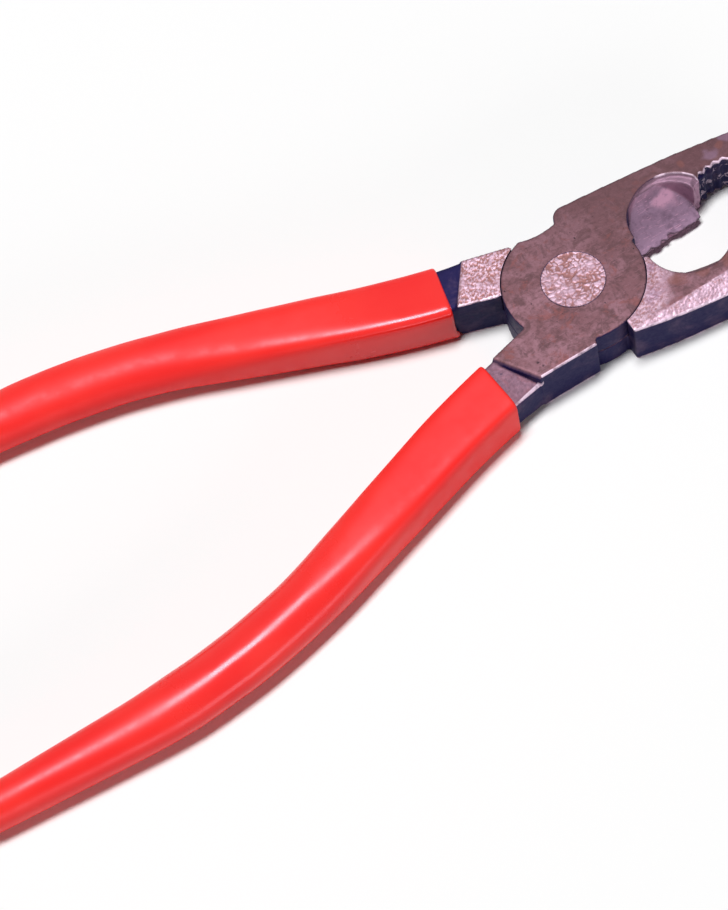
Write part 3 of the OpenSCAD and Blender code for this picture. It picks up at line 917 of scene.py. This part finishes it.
def scoop_color(s):
    """The cutter's hollow floor, rubbed to a violet grey, with pink painted as a highlight patch and as
    light on its steep wall
    """
    color = s.mix(s.ramp(s.noise(4.0, 4, 0.6, 0.6), 0.46, 0.66), SCOOP, SCOOP_DARK)
    # Painted pink highlight in a patch, and painted light on the hollow's steep wall, which lies in shade
    color = s.mix(s.mask("pink"), color, SCOOP_PINK_AND_HIGHLIGHT)
    color = s.mix(s.math("MULTIPLY", scoop_marks(s), 0.75), color, SCOOP_PINK_AND_HIGHLIGHT)
    return s.mix(s.ramp(s.noise(1.0, 4, 0.6), 0.5, 0.7, 0, 0.5), color, SCOOP_DARK)


def steel_material():
    s = Shader("worn_steel")
    color = s.mix(s.mask("face"), forged_color(s), patina_color(s))
    color = s.mix(s.mask("ground"), color, ground_color(s))
    color = s.mix(s.mask("scoop"), color, scoop_color(s))
    color = s.mix(s.math("MULTIPLY", s.mask("lilac"), LILAC_AMOUNT), color, LILAC)
    color = s.mix(s.math("MULTIPLY", s.mask("rust"), RUST_AMOUNT), color, RUST)
    # Edges brightened to bright steel, partly by wear and partly as painted highlight, broken up in
    # patches
    rubbed = s.ramp(s.noise(1.8, 4, 0.6), 0.36, 0.56, 0.3, 1.0)
    color = s.mix(s.math("MULTIPLY", s.ramp(s.mask("edge"), 0.3, 0.8), rubbed), color, WEAR_AND_HIGHLIGHT)
    # Near black: dark pits, and painted shade on the cutter's low walls
    color = s.mix(s.mask("soot"), color, PIT_AND_SHADE_BLACK)
    s.put(s.bsdf.inputs["Specular IOR Level"], STEEL_SPECULAR)
    grain = s.noise(GRAIN_SIZE, 4, 0.65)
    smooth = s.math("MAXIMUM", s.mask("ground"), s.mask("scoop"))
    forged = s.ramp(grain, 0.3, 0.7, *STEEL_ROUGHNESS)
    ground = s.ramp(grain, 0.3, 0.7, *GROUND_ROUGHNESS)
    return s.finish(
        Base_Color=color,
        Metallic=STEEL_METALLIC,
        Roughness=s.blend(smooth, forged, ground),
        Normal=s.bump(grain, GRAIN_DEPTH),
    )


def plastic_material():
    s = Shader("red_dipped_plastic")
    color = s.mix(s.ramp(s.noise(14, 3, 0.5), 0.3, 0.7), PLASTIC_RED, PLASTIC_RED_LIGHT)
    s.put(s.bsdf.inputs["Specular Tint"], PLASTIC_TINT)
    s.put(s.bsdf.inputs["Specular IOR Level"], PLASTIC_SPECULAR)
    matt = s.ramp(s.noise(4, 4, 0.6), 0.3, 0.7, *MATT_ROUGHNESS)
    glossy = s.ramp(s.noise(4, 4, 0.6), 0.3, 0.7, *GLOSSY_ROUGHNESS)
    return s.finish(
        Base_Color=color,
        Roughness=s.blend(s.mask("gloss"), matt, glossy),
        Normal=s.bump(s.noise(2.5, 3, 0.5), PLASTIC_DEPTH),
    )


def camera_axes():
    el, az, roll = CAMERA_ELEVATION, CAMERA_AZIMUTH, CAMERA_ROLL
    back = Vector((math.sin(az) * math.cos(el), -math.cos(az) * math.cos(el), math.sin(el)))
    right = Vector((math.cos(az), math.sin(az), 0))
    up = back.cross(right)
    return (
        math.cos(roll) * right + math.sin(roll) * up,
        -math.sin(roll) * right + math.cos(roll) * up,
        back,
    )


def make_camera():
    right, up, back = camera_axes()
    x = RIVET_PIXEL[0] - PHOTO_SIZE[0] / 2
    y = PHOTO_SIZE[1] / 2 - RIVET_PIXEL[1]
    rivet_top = Vector((0, 0, HEAD_THICKNESS * MM))
    place = rivet_top - (x * right + y * up) * CAMERA_DISTANCE / FOCAL_PIXELS + CAMERA_DISTANCE * back
    data = bpy.data.cameras.new("camera")
    data.sensor_width = SENSOR
    data.lens = FOCAL_PIXELS * SENSOR / PHOTO_SIZE[1]
    data.clip_start = 0.01
    data.clip_end = 20
    camera = bpy.data.objects.new("camera", data)
    camera.matrix_world = Matrix.Translation(place) @ Matrix((right, up, back)).transposed().to_4x4()
    bpy.context.scene.collection.objects.link(camera)
    bpy.context.scene.camera = camera


# The floor and the light, in metres and watts
FLOOR_SIZE = 6.0
FLOOR_COLOR = (0.985, 0.985, 0.985)
FLOOR_BOUNCE = (0.72, 0.72, 0.74)
FILL = 0.03
LAMP_PLACE = (-0.12, 0.22, 1.95)
LAMP_AIM = (-0.05, 0.0, 0.0)
LAMP_LENGTH = 0.9
LAMP_WIDTH = 0.42
LAMP_ENERGY = 37.4
FRONT_LAMP_PLACE = (0.10, -1.20, 0.21)
FRONT_LAMP_SIZE = (1.3, 0.38)
FRONT_LAMP_ENERGY = 5.1


def seen_directly(tree):
    """1 for the camera, for reflections and for what shows through glass, and 0 for all other light"""
    path = tree.nodes.new("ShaderNodeLightPath")
    seen = path.outputs["Is Camera Ray"]
    for name in ("Is Glossy Ray", "Is Transmission Ray"):
        either = tree.nodes.new("ShaderNodeMath")
        either.operation = "MAXIMUM"
        tree.links.new(seen, either.inputs[0])
        tree.links.new(path.outputs[name], either.inputs[1])
        seen = either.outputs[0]
    return seen


def make_floor():
    """A floor that looks white, but throws less light back onto the part"""
    s = Shader("white_floor")
    material = s.finish(Base_Color=s.mix(seen_directly(s.tree), FLOOR_BOUNCE, FLOOR_COLOR), Roughness=1.0)
    s.put(s.bsdf.inputs["Specular IOR Level"], 0.0)
    bpy.ops.mesh.primitive_plane_add(size=FLOOR_SIZE)
    floor = bpy.context.object
    floor.name = "floor"
    floor.data.materials.append(material)


def make_world():
    """White where it is seen, and a faint fill everywhere else"""
    world = bpy.data.worlds.new("world")
    bpy.context.scene.world = world
    world.use_nodes = True
    tree = world.node_tree
    level = tree.nodes.new("ShaderNodeMapRange")
    tree.links.new(seen_directly(tree), level.inputs["Value"])
    level.inputs["To Min"].default_value = FILL
    level.inputs["To Max"].default_value = 1.0
    plain = tree.nodes["Background"]
    plain.inputs["Color"].default_value = (1, 1, 1, 1)
    tree.links.new(level.outputs["Result"], plain.inputs["Strength"])


def make_lamp(name, place, size, energy):
    lamp = bpy.data.lights.new(name, "AREA")
    lamp.shape = "RECTANGLE"
    lamp.size = size[0]
    lamp.size_y = size[1]
    lamp.energy = energy
    holder = bpy.data.objects.new(name, lamp)
    holder.location = place
    holder.rotation_euler = (Vector(LAMP_AIM) - holder.location).to_track_quat("-Z", "Y").to_euler()
    bpy.context.scene.collection.objects.link(holder)


make_camera()
steel = steel_material()
plastic = plastic_material()
make_front_half(steel)
make_rear_half(steel)
make_rivet(steel)
front_mouth = (FRONT_GRIP_START, FRONT_MOUTH_SLANT)
rear_mouth = (REAR_GRIP_START, REAR_MOUTH_SLANT)
make_sleeve("front_sleeve", "front_grip", "front_lever", *front_mouth, -1, FRONT_GLOSS, plastic)
make_sleeve("rear_sleeve", "rear_grip", "rear_lever", *rear_mouth, 1, REAR_GLOSS, plastic, flap=True)
make_floor()
make_world()
make_lamp("overhead", LAMP_PLACE, (LAMP_LENGTH, LAMP_WIDTH), LAMP_ENERGY)
make_lamp("front", FRONT_LAMP_PLACE, FRONT_LAMP_SIZE, FRONT_LAMP_ENERGY)

bpy.context.scene.view_settings.view_transform = "Standard"
